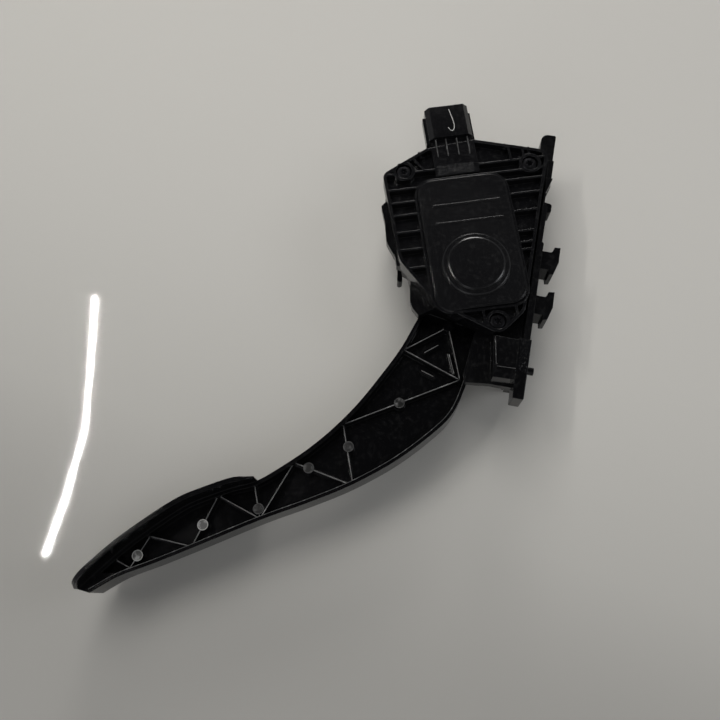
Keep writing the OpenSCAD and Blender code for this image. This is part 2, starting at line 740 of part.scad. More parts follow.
module ring_magnet() {
    color([0.4, 0.4, 0.43]) at_pivot() difference() {
        across(magnet_x - 1.5, magnet_x, boss_r - 2.4);
        across(magnet_x - 2, magnet_x + 1, 3.4);
    }
}

module spring_slider() {
    color([0.3, 0.3, 0.32])
    at_pivot() difference() {
        slab(-slider_half, slider_half)
            translate([slider_face - slider_l, slide_z - slider_h / 2]) square([slider_l, slider_h]);
        translate([0, slider_face - slider_l - 1, slide_z]) rotate([-90, 0, 0])
            cylinder(h = spring_pocket + 1, r = outer_coil_r + outer_wire_r + 0.1);
    }
}

module friction_pads() {
    color([0.55, 0.45, 0.3])
    at_pivot() slab(-slider_half + 1, slider_half - 1)
        for (z = [slide_z - slider_h / 2 - friction_t, slide_z + slider_h / 2])
            translate([slider_face - slider_l, z]) square([slider_l - 2.5, friction_t]);
}

// Coil spring along +Z with closed end turns, as one swept tube
module coil(mean_r, wire_r, length, turns) {
    sides = 8;
    steps = 14 * turns;
    run = length - 2 * wire_r;
    function rise(t) = run * (t - sin(360 * t) / 360 * 50);
    function ring(i) =
        let (t = i / steps, a = 360 * turns * t, out = [cos(a), sin(a), 0])
        [for (k = [0:sides - 1])
            (mean_r + wire_r * cos(360 * k / sides)) * out + [0, 0, wire_r + rise(t) + wire_r * sin(360 * k / sides)]];
    points = [for (i = [0:steps]) each ring(i)];
    skin = [for (i = [0:steps - 1]) for (k = [0:sides - 1])
            let (a = i * sides + k, b = i * sides + (k + 1) % sides) [a, a + sides, b + sides, b]];
    polyhedron(points, concat(skin, [[for (k = [0:sides - 1]) k]],
                              [[for (k = [sides - 1:-1:0]) steps * sides + k]]));
}

module spring_between(mean_r, wire_r) {
    at_pivot() translate([0, spring_from, slide_z]) rotate([-90, 0, 0])
        translate([0, 0, 0.05]) coil(mean_r, wire_r, spring_to - spring_from - 0.1, coils);
}

module outer_spring() {
    color([0.55, 0.55, 0.58]) spring_between(outer_coil_r, outer_wire_r);
}

module inner_spring() {
    color([0.6, 0.6, 0.62]) spring_between(inner_coil_r, inner_wire_r);
}

main_housing();
sensor_housing();
sensor_lid();
cover_screws();
bolt_sleeves();
near_bush();
far_bush();
circuit_board();
hall_chips();
board_parts();
connector_pins();
spring_seat();
rest_stop_pad();
full_stop_pad();
pedal_arm();
pivot_shaft();
shaft_clip();
rotor_cup();
ring_magnet();
spring_slider();
friction_pads();
outer_spring();
inner_spring();
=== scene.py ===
# %% [markdown]
# # A hanging accelerator pedal in black glass-filled nylon
# The part lies on its side on a pale table, with its sensor side up. Nearly everything is one black
# plastic, so the looks come from three things: the edges that catch the light, the fine difference
# between moulded faces and glossier ones, and a few small bright pieces such as screws and pads. The pale
# lines on the rib crests and edges are painted highlights, and the grey of the pads is a painted sheen.

import json
import math

import bmesh
import bpy
import numpy as np
from mathutils import Matrix, Vector


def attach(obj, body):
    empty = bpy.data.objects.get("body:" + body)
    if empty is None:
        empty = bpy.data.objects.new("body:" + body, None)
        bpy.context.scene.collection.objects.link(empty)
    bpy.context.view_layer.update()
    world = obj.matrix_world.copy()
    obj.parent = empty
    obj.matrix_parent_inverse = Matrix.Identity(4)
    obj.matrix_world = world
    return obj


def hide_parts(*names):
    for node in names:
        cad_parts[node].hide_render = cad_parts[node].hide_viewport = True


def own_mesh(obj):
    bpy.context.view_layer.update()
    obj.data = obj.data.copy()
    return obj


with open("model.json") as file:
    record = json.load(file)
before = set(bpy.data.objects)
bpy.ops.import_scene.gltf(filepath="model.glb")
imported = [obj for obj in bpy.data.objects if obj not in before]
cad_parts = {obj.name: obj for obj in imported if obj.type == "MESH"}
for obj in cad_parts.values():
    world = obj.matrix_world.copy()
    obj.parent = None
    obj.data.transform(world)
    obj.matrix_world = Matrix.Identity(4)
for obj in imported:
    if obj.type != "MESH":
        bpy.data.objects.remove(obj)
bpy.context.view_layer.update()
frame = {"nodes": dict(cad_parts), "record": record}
nodes = frame["nodes"]
record = frame["record"]

# %% [markdown]
# ## Lengths
# Blender works in metres and the pedal is drawn in millimetres, so one factor turns one into the other.
# The sensor leans back against the mounting face. Its own directions, p across and q along the lean,
# are turned into the pedal's Y and Z by one function, and every sensor piece uses it.

# %% Helpers for lengths and places
MM = 0.001
LEAN = math.radians(18.5)
PIVOT_Y = -33.5


def from_sensor(x, p, q):
    """Sensor point in millimetres: y = pivot + p cos(lean) - q sin(lean), z = p sin(lean) + q cos(lean)."""
    x, p, q = np.broadcast_arrays(np.asarray(x, float), np.asarray(p, float), np.asarray(q, float))
    y = PIVOT_Y + p * math.cos(LEAN) - q * math.sin(LEAN)
    z = p * math.sin(LEAN) + q * math.cos(LEAN)
    return np.stack([x, y, z], axis=-1)


print("sensor's own origin:", from_sensor(0, 0, 0))

# %% [markdown]
# ## Surfaces from grids
# A shape that is a function of two parameters is a grid of points. Neighbouring points make four-sided
# faces, and a grid that closes on itself joins its last row or column to its first. A wire, a screw and a
# pad are all tubes: grids that close round their columns, with one face over each end. All corner numbers
# come from whole arrays, which is short to write and quick even for long springs.

# %% Faces of a grid


def grid_faces(rows, columns, close_rows=False, close_columns=False):
    """Corners of each face: point (i, j), its neighbour in the row, and these two of the next row."""
    i, j = np.meshgrid(np.arange(rows if close_rows else rows - 1),
                       np.arange(columns if close_columns else columns - 1), indexing="ij")
    a = i * columns + j
    b = i * columns + (j + 1) % columns
    c = ((i + 1) % rows) * columns + (j + 1) % columns
    d = ((i + 1) % rows) * columns + j
    return np.stack([a, b, c, d], axis=-1).reshape(-1, 4)


def tube_faces(rows, columns):
    """Blocks of faces of a tube: the grid that closes round its columns, then one face over each end row."""
    ends = np.array([[0], [(rows - 1) * columns]]) + np.arange(columns)
    return [grid_faces(rows, columns, close_columns=True), ends]


print("faces of a grid of 3 by 4 points:", len(grid_faces(3, 4)))

# %% [markdown]
# ## Points and faces to a mesh
# Every piece is made of points and blocks of faces in the same way, so one function does it. A grid that
# runs the other way round, or a mirror image, would be inside out, so the normals of every mesh are worked
# out again, after points that lie on each other are merged.

# %% Mesh helper
MERGE_DISTANCE = 1e-6


def make_mesh(name, points, faces, body, material, smooth=True):
    """Puts points in millimetres and blocks of faces into a new object that rides on a body."""
    mesh = bpy.data.meshes.new(name)
    corners = [face for block in faces for face in block.tolist()]
    mesh.from_pydata((np.asarray(points).reshape(-1, 3) * MM).tolist(), [], corners)
    mesh.update()
    piece = bpy.data.objects.new(name, mesh)
    bpy.context.collection.objects.link(piece)
    shell = bmesh.new()
    shell.from_mesh(mesh)
    bmesh.ops.remove_doubles(shell, verts=shell.verts, dist=MERGE_DISTANCE)
    bmesh.ops.recalc_face_normals(shell, faces=shell.faces)
    shell.to_mesh(mesh)
    shell.free()
    mesh.polygons.foreach_set("use_smooth", [smooth] * len(mesh.polygons))
    mesh.materials.append(material)
    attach(piece, body)
    return piece


print("points are merged within", round(MERGE_DISTANCE / MM, 6), "mm")

# %% [markdown]
# ## Nodes of a material
# Every finish on this part needs the same few steps: a pattern that sets the roughness, and a pattern that
# lifts the surface a little. They are written once here. The Bevel node softens the way that light turns
# round each sharp edge, as the small radius of a mould does, without a change to the mesh.

# %% Material helpers
BEVEL_SAMPLES = 6


def set_sockets(node, **values):
    """Sets inputs of a node: an underscore in a name stands for a space in the input's own name."""
    for name, value in values.items():
        node.inputs[name.replace("_", " ")].default_value = value
    return node


def add_node(tree, kind, **values):
    """Adds a shader node of a kind to a tree and sets its inputs."""
    return set_sockets(tree.nodes.new("ShaderNode" + kind), **values)


def new_material(name):
    """A new material, its tree of nodes and its shader."""
    material = bpy.data.materials.new(name)
    material.use_nodes = True
    return material, material.node_tree, material.node_tree.nodes["Principled BSDF"]


def gloss_from(tree, shader, pattern, pattern_range, gloss_range):
    """Roughness goes from the first gloss to the second as the pattern goes from low to high in its range."""
    gloss = add_node(tree, "MapRange", From_Min=pattern_range[0], From_Max=pattern_range[1],
                     To_Min=gloss_range[0], To_Max=gloss_range[1])
    tree.links.new(pattern, gloss.inputs["Value"])
    tree.links.new(gloss.outputs["Result"], shader.inputs["Roughness"])


def relief_from(tree, shader, pattern, depth, height, edge):
    """Bump by a share, depth, of a height in metres, on normals that are rounded over the width edge."""
    bump = add_node(tree, "Bump", Strength=depth, Distance=height)
    tree.links.new(pattern, bump.inputs["Height"])
    if edge:
        bevel = add_node(tree, "Bevel", Radius=edge)
        bevel.samples = BEVEL_SAMPLES
        tree.links.new(bevel.outputs["Normal"], bump.inputs["Normal"])
    tree.links.new(bump.outputs["Normal"], shader.inputs["Normal"])


print("materials before the finishes:", len(bpy.data.materials))

# %% [markdown]
# ## Moulded plastic
# Glass-filled nylon comes out of the mould with a very fine grain, slightly uneven gloss where the melt
# flowed, and rubbed corners. Three patterns at three sizes do that: a grain of a few tenths of a
# millimetre for the bump, a cloud a few centimetres wide for the gloss, and dust on the dull places.
# An image of real plastic would show its repeats on so long a part, and these patterns have none.

# %% Black plastics
CLOUD_RANGE = (0.35, 0.68)
CLOUD_DETAIL = 4.0
SPECK_SCALE = 420.0
SPECK_DETAIL = 3.0
SPECK_RANGE = (0.52, 0.78)
# The pale specks are real dust on most finishes, and part of a painted highlight or painted sheen on the
# crest lines and pads.
DUST_AND_SHEEN_TONE = 0.35
GRAIN_HEIGHT = 0.0001


def plastic(name, colour, low_gloss, high_gloss, grain_size=0.00035, grain_depth=0.12, edge=0.0004,
            dust_and_sheen=0.0, specular=0.5, flow=28.0):
    """Cells for the bump, a slow cloud between two glosses, and specks of colour + (0.35 - colour) times
    dust_and_sheen: real dust on most finishes, painted sheen on the crest lines and pads.
    """
    material, tree, shader = new_material(name)
    set_sockets(shader, Specular_IOR_Level=specular)
    place = add_node(tree, "TexCoord").outputs["Object"]
    cloud = add_node(tree, "TexNoise", Scale=flow, Detail=CLOUD_DETAIL)
    tree.links.new(place, cloud.inputs["Vector"])
    gloss_from(tree, shader, cloud.outputs["Fac"], CLOUD_RANGE, (low_gloss, high_gloss))
    speck = add_node(tree, "TexNoise", Scale=SPECK_SCALE, Detail=SPECK_DETAIL)
    tree.links.new(place, speck.inputs["Vector"])
    ramp = add_node(tree, "ValToRGB")
    dust_and_sheen_rgb = [c + (DUST_AND_SHEEN_TONE - c) * dust_and_sheen for c in colour]
    for stop, position, tone in zip(ramp.color_ramp.elements, SPECK_RANGE, (colour, dust_and_sheen_rgb)):
        stop.position = position
        stop.color = (*tone, 1.0)
    tree.links.new(speck.outputs["Fac"], ramp.inputs["Fac"])
    tree.links.new(ramp.outputs["Color"], shader.inputs["Base Color"])
    grain = add_node(tree, "TexVoronoi", Scale=1.0 / grain_size)
    tree.links.new(place, grain.inputs["Vector"])
    relief_from(tree, shader, grain.outputs["Distance"], grain_depth, GRAIN_HEIGHT, edge)
    return material


bracket_black = plastic("bracket nylon", (0.0018, 0.0018, 0.0021), 0.14, 0.28, grain_depth=0.14,
                        dust_and_sheen=0.015, edge=0.0005, specular=0.28)
sensor_black = plastic("sensor housing nylon", (0.0025, 0.0025, 0.003), 0.13, 0.26, grain_depth=0.14,
                       dust_and_sheen=0.02, edge=0.0005, specular=0.4)
arm_black = plastic("arm nylon", (0.0015, 0.0015, 0.0018), 0.1, 0.2, grain_depth=0.08,
                    dust_and_sheen=0.012, edge=0.0006, specular=0.3)
lid_black = plastic("lid plastic", (0.0035, 0.0035, 0.004), 0.16, 0.24, grain_depth=0.06,
                    dust_and_sheen=0.015, edge=0.0005, specular=0.45)
print("plastics:", [m.name for m in bpy.data.materials if m.name.endswith(("nylon", "plastic"))])

# %% [markdown]
# ## Metals
# The shaft and the contact pins carry fine lines along their length. A noise that is stretched in that
# direction gives them, where an even noise would look like cast metal. The other metals are plated,
# blackened, sintered or too thin to show a direction, so they keep an even noise.

# %% Metal
SCRATCH_DETAIL = 5.0
SCRATCH_HEIGHT = 0.00005


def metal(name, colour, low_gloss, high_gloss, stretch=(1.0, 1.0, 1.0), scale=900.0, depth=0.1, edge=0.0002):
    """Metal whose roughness and relief follow one noise, of places times the stretch of each direction."""
    material, tree, shader = new_material(name)
    set_sockets(shader, Base_Color=(*colour, 1.0), Metallic=1.0)
    turned = add_node(tree, "Mapping", Scale=stretch)
    tree.links.new(add_node(tree, "TexCoord").outputs["Object"], turned.inputs["Vector"])
    lines = add_node(tree, "TexNoise", Scale=scale, Detail=SCRATCH_DETAIL)
    tree.links.new(turned.outputs["Vector"], lines.inputs["Vector"])
    gloss_from(tree, shader, lines.outputs["Fac"], (0.0, 1.0), (low_gloss, high_gloss))
    relief_from(tree, shader, lines.outputs["Fac"], depth, SCRATCH_HEIGHT, edge)
    return material


metals = {
    "screw_steel": metal("blackened screw steel", (0.02, 0.02, 0.022), 0.3, 0.48),
    "plated_steel": metal("zinc plated sleeve", (0.6, 0.6, 0.58), 0.25, 0.45),
    "shaft_steel": metal("ground shaft", (0.62, 0.62, 0.64), 0.12, 0.3, stretch=(0.2, 1.0, 1.0)),
    "spring_steel": metal("spring wire", (0.4, 0.4, 0.42), 0.2, 0.35, edge=0.0),
    "pin_brass": metal("contact brass", (0.8, 0.6, 0.25), 0.15, 0.3, stretch=(1.0, 1.0, 0.2)),
    "magnet_dark": metal("sintered magnet", (0.09, 0.09, 0.1), 0.4, 0.6),
}
print("metals:", list(metals))

# %% [markdown]
# ## A finish for each piece
# The small plastics inside are natural or grey acetal, which slides well, and the stops are rubber, which is
# matte with a coarse grain. The record names a material slot for each piece, so one table from slot to finish
# dresses them all, and a piece that is added later gets its finish from its slot alone.

# %% Finishes
finishes = {
    "bracket_nylon": bracket_black,
    "sensor_nylon": sensor_black,
    "arm_nylon": arm_black,
    "lid_plastic": lid_black,
    **metals,
    "bush_acetal": plastic("bush plastic", (0.55, 0.5, 0.38), 0.3, 0.4, grain_depth=0.05),
    "grey_acetal": plastic("grey plastic", (0.16, 0.16, 0.17), 0.3, 0.45, grain_depth=0.08),
    "friction_tan": plastic("friction lining", (0.3, 0.22, 0.12), 0.6, 0.8, grain_depth=0.3, dust_and_sheen=0.2),
    "stop_rubber": plastic("stop rubber", (0.03, 0.025, 0.022), 0.65, 0.85, grain_size=0.0006,
                           grain_depth=0.4),
    "board_green": plastic("solder mask", (0.015, 0.12, 0.04), 0.18, 0.25, grain_depth=0.05),
    "chip_black": plastic("chip epoxy", (0.015, 0.015, 0.015), 0.5, 0.6, grain_depth=0.1),
    "component_tan": plastic("ceramic parts", (0.4, 0.28, 0.16), 0.3, 0.4, grain_depth=0.05),
}
slot_of = {s["node"]: s["material_slot"] for s in record["subparts"]}
for node_name, piece in nodes.items():
    piece.data.materials.clear()
    piece.data.materials.append(finishes[slot_of[node_name]])
print("finishes:", len(finishes))

# %% [markdown]
# ## Coil springs
# Two springs of drawn wire push the slider back, one inside the other and wound the same way. Wire keeps
# its round section along the whole coil, so each spring is a circle swept along a helix. The ends are
# closed: the pitch falls there to a fifth of its mean, so the last turn lies nearly flat on its seat. A
# swept grid gives this with one formula, where a stack of rings would not join up. One end stands on the
# bracket's seat, so the springs ride on the bracket.

# %% Where the springs stand
HALF_PRESS = math.radians(8.0)
LEVER_R = 31.0
NOSE_R = 6.0
NOSE_GAP = 0.3
SLIDER_L = 12.0
SPRING_POCKET = 2.0
SEAT_Y = -44.8
SEAT_T = 2.0
SLIDE_Z = LEVER_R * math.cos(HALF_PRESS)
SPRING_FROM = PIVOT_Y + SEAT_Y + SEAT_T
SPRING_TO = PIVOT_Y + LEVER_R * math.sin(HALF_PRESS) - NOSE_R - NOSE_GAP - SLIDER_L + SPRING_POCKET

# %% [markdown]
# The wire needs two directions across it at each point. The first points away from the coil's axis, less its
# share along the wire, and the second is the cross product of the wire's direction with the first. A circle
# in these two directions stays round and never twists, because the axis of the coil steers it.

# %% Springs
COILS = 6
STEPS_PER_COIL = 72
WIRE_SIDES = 14
CLOSED_END = 0.8
END_GAP = 0.05


def coil_spring(name, mean_r, wire_r):
    """Circle swept along a helix about Y: angle 2 pi n t, height run (t - 0.8 sin(2 pi t) / 2 pi)."""
    t = np.linspace(0.0, 1.0, STEPS_PER_COIL * COILS + 1)
    run = SPRING_TO - SPRING_FROM - 2 * wire_r - 2 * END_GAP
    angle = 2 * np.pi * COILS * t
    height = run * (t - CLOSED_END * np.sin(2 * np.pi * t) / (2 * np.pi))
    centre = np.stack([mean_r * np.cos(angle), height, -mean_r * np.sin(angle)], axis=-1)
    ahead = np.gradient(centre, axis=0)
    ahead /= np.linalg.norm(ahead, axis=1, keepdims=True)
    outward = np.stack([np.cos(angle), np.zeros_like(angle), -np.sin(angle)], axis=-1)
    outward -= ahead * np.sum(outward * ahead, axis=1, keepdims=True)
    outward /= np.linalg.norm(outward, axis=1, keepdims=True)
    upward = np.cross(ahead, outward)
    around = np.linspace(0, 2 * np.pi, WIRE_SIDES, endpoint=False)[None, :, None]
    circle = np.cos(around) * outward[:, None, :] + np.sin(around) * upward[:, None, :]
    points = centre[:, None, :] + wire_r * circle + np.array([0.0, SPRING_FROM + wire_r + END_GAP, SLIDE_Z])
    spring = make_mesh(name, points, tube_faces(len(t), WIRE_SIDES), "bracket", finishes["spring_steel"])
    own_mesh(spring)
    return spring


outer_wire = coil_spring("outer_spring_wire", 8.0, 0.95)
inner_wire = coil_spring("inner_spring_wire", 5.0, 0.65)
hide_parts("outer_spring")
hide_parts("inner_spring")
print("springs:", len(outer_wire.data.polygons), "and", len(inner_wire.data.polygons), "faces")

# %% [markdown]
# ## Six-lobed screws
# The sensor housing is held by three thread-forming screws. Their pan heads are cold headed: the rim is
# round, the top is slightly domed, and the punch leaves a six-lobed socket with a floor. Seen from above,
# everything between the socket and the rim is a ring whose inner line is a wavy circle and whose outer
# line is a plain one, so a grid in polar form fits: each row is one height of the profile, and its wave
# fades out towards the rim.

# %% Screw profile
THREAD_STEPS = 17
THREAD_PITCH = 0.55


def screw_profile():
    """Rows of (radius, height above the seat, depth of wave), from the socket's floor to the shank's tip."""
    socket = [(0.02, 0.95, 0.0), (0.9, 0.95, 0.1), (1.32, 1.0, 0.3), (1.5, 1.12, 0.34), (1.56, 2.2, 0.34),
              (1.7, 2.38, 0.3)]
    dome = [(1.7 + 1.5 * k / 4, 2.42 - 0.14 * (k / 4) ** 2, 0.3 * (1 - k / 4)) for k in range(1, 5)]
    rim = [(3.2 + 0.8 * math.sin(a), 1.48 + 0.8 * math.cos(a), 0.0) for a in np.linspace(0.25, 1.57, 6)]
    under = [(4.0, 0.4, 0.0), (3.9, 0.06, 0.0), (1.9, 0.05, 0.0)]
    thread = [(1.85 - 0.35 * (k % 2), -0.3 - THREAD_PITCH * k, 0.0) for k in range(THREAD_STEPS)]
    tip = [(0.02, -10.3, 0.0)]
    return np.array(socket + dome + rim + under + thread + tip)


print("rows of the screw's profile:", len(screw_profile()))

# %% [markdown]
# The three screws make one piece, so their points are put in one list and the corner numbers move on by the
# points before them. Each screw ends its drive at its own angle, so the heads are turned a little against
# each other. The sharp rims of the sockets keep their edge by an Edge Split, and the domes stay smooth.

# %% Screws
SCREW_PLACES = [(40.0, 57.5), (-29.0, 62.0), (6.0, -31.5)]
SEAT_X = 21.5
LOBES = 6
HEAD_SIDES = 72
TURN_BETWEEN_SCREWS = 0.3
SHARP_ANGLE = math.radians(50)


def join_shapes(shapes):
    """Puts several (points, blocks of faces) pairs into one, with the corner numbers moved on."""
    points, faces, start = [], [], 0
    for some_points, some_faces in shapes:
        points.append(some_points)
        faces += [block + start for block in some_faces]
        start += len(some_points)
    return np.concatenate(points), faces


def screw(place, turned):
    """Grid over profile row and angle: radius r + wave cos(6 angle), height above the seat along X."""
    rows = screw_profile()
    angle = np.linspace(0, 2 * np.pi, HEAD_SIDES, endpoint=False)
    radius = rows[:, 0][:, None] + rows[:, 2][:, None] * np.cos(LOBES * (angle + turned))[None, :]
    x = SEAT_X + np.repeat(rows[:, 1][:, None], HEAD_SIDES, axis=1)
    points = from_sensor(x, place[0] + radius * np.cos(angle), place[1] + radius * np.sin(angle))
    return points.reshape(-1, 3), tube_faces(len(rows), HEAD_SIDES)


screws = join_shapes([screw(place, TURN_BETWEEN_SCREWS * k) for k, place in enumerate(SCREW_PLACES)])
heads = make_mesh("six_lobed_screws", *screws, "bracket", finishes["screw_steel"])
soften = heads.modifiers.new("edge keep", "EDGE_SPLIT")
soften.split_angle = SHARP_ANGLE
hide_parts("cover_screws")
print("screws:", len(heads.data.polygons), "faces")

# %% [markdown]
# ## Pads on the arm's ribs
# The ejector pins of the mould press on round pads where the ribs meet. Their faces are a little rougher
# than the ribs and stand a little higher, and their grey is a painted sheen where the arm is black.
# Each is a shallow dished disc: the pin leaves a raised lip of a few hundredths of a millimetre, and the
# lip gets a thin ring of its own in a lighter finish, a painted highlight. The arm is the same on both sides,
# so the far side's pads are mirror images: the same points with X turned to its opposite.

# %% Shapes of a pad
PAD_TOP_X = 6.4
PAD_RISE = 0.03
PAD_DISH = 0.05
PAD_EDGE_X = 6.2
PAD_SIDES = 40
RING_X = 6.45
RING_STEPS = 48
RING_SIDES = 8
RING_FLATNESS = 0.6


def from_pivot(x, y, z):
    """Place in millimetres of a point given from the pivot: y = pivot + y, and x and z as they are."""
    return np.stack(np.broadcast_arrays(x, PIVOT_Y + np.asarray(y, float), z), axis=-1)


def both_sides(shapes):
    """The shapes and their mirror images on the far side: the same y and z, and x times -1."""
    return list(shapes) + [(points * (-1.0, 1.0, 1.0), faces) for points, faces in shapes]


def pad_face(y, z, radius=2.75):
    """Round dish: height 0.03 + 0.05 (r / R)^8 above the pad, on rings of 40 points, and an edge below."""
    share = np.array([0.0005, 0.35, 0.6, 0.8, 0.9, 0.96, 1.0])
    angle = np.linspace(0, 2 * np.pi, PAD_SIDES, endpoint=False)
    x = PAD_TOP_X + PAD_RISE + PAD_DISH * share**8
    reach = radius * share[:, None]
    grid = from_pivot(x[:, None], y + reach * np.cos(angle), z + reach * np.sin(angle))
    edge = grid[-1].copy()
    edge[:, 0] = PAD_EDGE_X
    return np.concatenate([grid.reshape(-1, 3), edge]), tube_faces(len(share) + 1, PAD_SIDES)


def pad_ring(y, z, radius=2.5, thick=0.2):
    """Section (t cos a, 0.6 t sin a), across the pad and above it, carried round a circle of radius R."""
    turn = np.linspace(0, 2 * np.pi, RING_STEPS, endpoint=False)[:, None]
    around = np.linspace(0, 2 * np.pi, RING_SIDES, endpoint=False)[None, :]
    reach = radius + thick * np.cos(around)
    rise = RING_FLATNESS * thick * np.sin(around)
    points = from_pivot(RING_X + rise, y + reach * np.cos(turn), z + reach * np.sin(turn))
    return points.reshape(-1, 3), [grid_faces(RING_STEPS, RING_SIDES, close_rows=True, close_columns=True)]


print("points of a pad and of its ring:", len(pad_face(0, 0)[0]), len(pad_ring(0, 0)[0]))

# %% [markdown]
# The two pads near the foot get a pale painted sheen and their rims a pale painted highlight, and the four
# above them get a faint one of each, so each group has its own pair of finishes.

# %% Pads
PAD_PLACES = [(-137.4, -175.6), (-109.8, -155.0), (-84.6, -142.0), (-64.6, -117.2), (-47.1, -102.7),
              (-26.0, -75.2)]
SHEEN_PADS = 2
# The grey of these faces and rims is painted sheen and painted highlight.
sheen_pad_finish = plastic("pad faces with painted sheen", (0.07, 0.07, 0.068), 0.45, 0.6, grain_size=0.0006, grain_depth=0.7,
                  dust_and_sheen=0.9, specular=0.4)
faint_sheen_pad_finish = plastic("pad faces with faint painted sheen", (0.006, 0.006, 0.006), 0.35, 0.5, grain_size=0.0006, grain_depth=0.6,
                 dust_and_sheen=0.25, specular=0.4)
highlight_rim_finish = plastic("pad rims with painted highlight", (0.3, 0.3, 0.29), 0.4, 0.55, grain_depth=0.3, edge=0.0)
faint_highlight_rim_finish = plastic("pad rims with faint painted highlight", (0.03, 0.03, 0.03), 0.35, 0.5, grain_depth=0.3, edge=0.0)
pad_groups = [("sheened", PAD_PLACES[:SHEEN_PADS], sheen_pad_finish, highlight_rim_finish),
              ("upper", PAD_PLACES[SHEEN_PADS:], faint_sheen_pad_finish, faint_highlight_rim_finish)]
for pad_name, pad_places, face_finish, rim_finish in pad_groups:
    face_shapes = both_sides([pad_face(y, z) for y, z in pad_places])
    rim_shapes = both_sides([pad_ring(y, z) for y, z in pad_places])
    pad_faces = make_mesh(f"{pad_name}_pad_faces", *join_shapes(face_shapes), "pedal", face_finish)
    pad_rims = make_mesh(f"{pad_name}_pad_rims", *join_shapes(rim_shapes), "pedal", rim_finish)
print("pads on each side:", len(PAD_PLACES))

# %% [markdown]
# ## Raised lines
# Several thin lines lie on flat faces: the tops of the connector's four neck ribs, the crests of the
# arm's zigzag ribs, the lip of its pocket, and a pale hook-shaped line on the connector.
# One function serves them all. It draws a smooth curve through a few points, where each piece between two
# points b and c also heeds the point a before and the point d after. Along it runs a half-round section,
# which shrinks to nothing at both ends, as a moulded line does. The lines are real surfaces, and the pale
# colour of those on the ribs, the lip and the block's edges is a painted highlight for the glint of their
# edges.

# %% Line shape
LINE_SIDES = 12
STRAIGHT_STEPS = 14
CURVE_STEPS = 6
SINK = -0.1
END_FADE = 16
LEAST_FADE = 0.0004


def smooth_path(corners, steps):
    """Between b and c: 0.5 (2b + (c - a) t + (2a - 5b + 4c - d) t^2 + (3b - a - 3c + d) t^3)."""
    ends = np.asarray(corners, float)
    padded = np.concatenate([ends[:1], ends, ends[-1:]])
    a, b, c, d = (padded[k:len(padded) - 3 + k, None, :] for k in range(4))
    t = np.linspace(0.0, 1.0, steps, endpoint=False)[None, :, None]
    curve = 0.5 * (2 * b + (c - a) * t + (2 * a - 5 * b + 4 * c - d) * t**2 + (3 * b - a - 3 * c + d) * t**3)
    return np.concatenate([curve.reshape(-1, 2), ends[-1:]])


def raised_line(place, corners, face_x, half_width, height, aside=0.0):
    """Section (w cos a, h sin a) along the path moved aside; both sizes fade as sqrt(1 - |2t - 1|^16)."""
    line = smooth_path(corners, STRAIGHT_STEPS if len(corners) == 2 else CURVE_STEPS)
    ahead = np.gradient(line, axis=0)
    ahead /= np.linalg.norm(ahead, axis=1, keepdims=True)
    left = np.stack([-ahead[:, 1], ahead[:, 0]], axis=-1)
    line = line + aside * left
    t = np.linspace(0.0, 1.0, len(line))
    fade = np.sqrt(np.maximum(1.0 - np.abs(2 * t - 1) ** END_FADE, LEAST_FADE))[:, None]
    around = np.linspace(0, 2 * np.pi, LINE_SIDES, endpoint=False)[None, :]
    sideways = fade * half_width * np.cos(around)
    rise = np.maximum(fade * height * np.sin(around), SINK)
    points = place(face_x + rise, line[:, :1] + left[:, :1] * sideways, line[:, 1:] + left[:, 1:] * sideways)
    return points.reshape(-1, 3), tube_faces(len(line), LINE_SIDES)


print("points along a path with one bend:", len(smooth_path([(0, 0), (1, 0), (1, 1)], 6)))

# %% [markdown]
# The neck ribs stand on the sensor's plate, where the connector's shell grows out of it, and the pale colour
# of their tops is a painted highlight. The hook is a thin pale line on the shell's front, only a tenth of a
# millimetre high.

# %% Neck ribs and hook line
SHELL_FACE_X = 26.25
PLATE_FACE_X = 24.5
NECK_RIB_PLACES = (-8.8, -3.2, 2.8, 8.8)
STROKE_PLACES = [(1.2, 97.2), (1.8, 93.6), (2.35, 90.2), (2.65, 86.9), (2.3, 84.3), (1.2, 82.8), (0.0, 83.4),
                 (-0.9, 85.4)]
# Both crest finishes are pale grey: a painted highlight along rib tops and edges that catch the light.
crest_highlight = plastic("painted crest highlight", (0.075, 0.075, 0.075), 0.3, 0.5, grain_size=0.0005,
                       grain_depth=0.4, dust_and_sheen=0.6, edge=0.0, flow=120.0)
faint_crest_highlight = plastic("faint painted crest highlight", (0.03, 0.03, 0.03), 0.3, 0.5, grain_size=0.0005,
                     grain_depth=0.4, dust_and_sheen=0.5, edge=0.0, flow=120.0)
# A pale hook-shaped line on the connector's shell.
pale_hook_finish = plastic("pale hook line finish", (0.36, 0.36, 0.35), 0.5, 0.7, grain_depth=0.3, edge=0.0)
rib_tops = [raised_line(from_sensor, [(p - 0.2, 67.8), (p, 79.4)], PLATE_FACE_X - 0.15, 0.42, 0.75)
            for p in NECK_RIB_PLACES]
# The neck rib tops take the faint painted highlight.
neck_ribs = make_mesh("neck_rib_tops", *join_shapes(rib_tops), "bracket", faint_crest_highlight)
hook_shape = raised_line(from_sensor, STROKE_PLACES, SHELL_FACE_X, 0.22, 0.1)
stroke = make_mesh("pale_hook_line", *hook_shape, "bracket", pale_hook_finish)
print("neck ribs and stroke:", len(neck_ribs.data.polygons) + len(stroke.data.polygons), "faces")

# %% [markdown]
# The crests of the zigzag ribs are the highest lines inside the arm's pocket, and a pale painted highlight
# runs along their whole length. Each leg of the zigzag is a line of its own, because a curve through all
# corners would round them. The short ribs at the neck stand lower and their painted highlight falls on one
# edge, so their lines lie off the middle, and the last of them has one on both its edges.

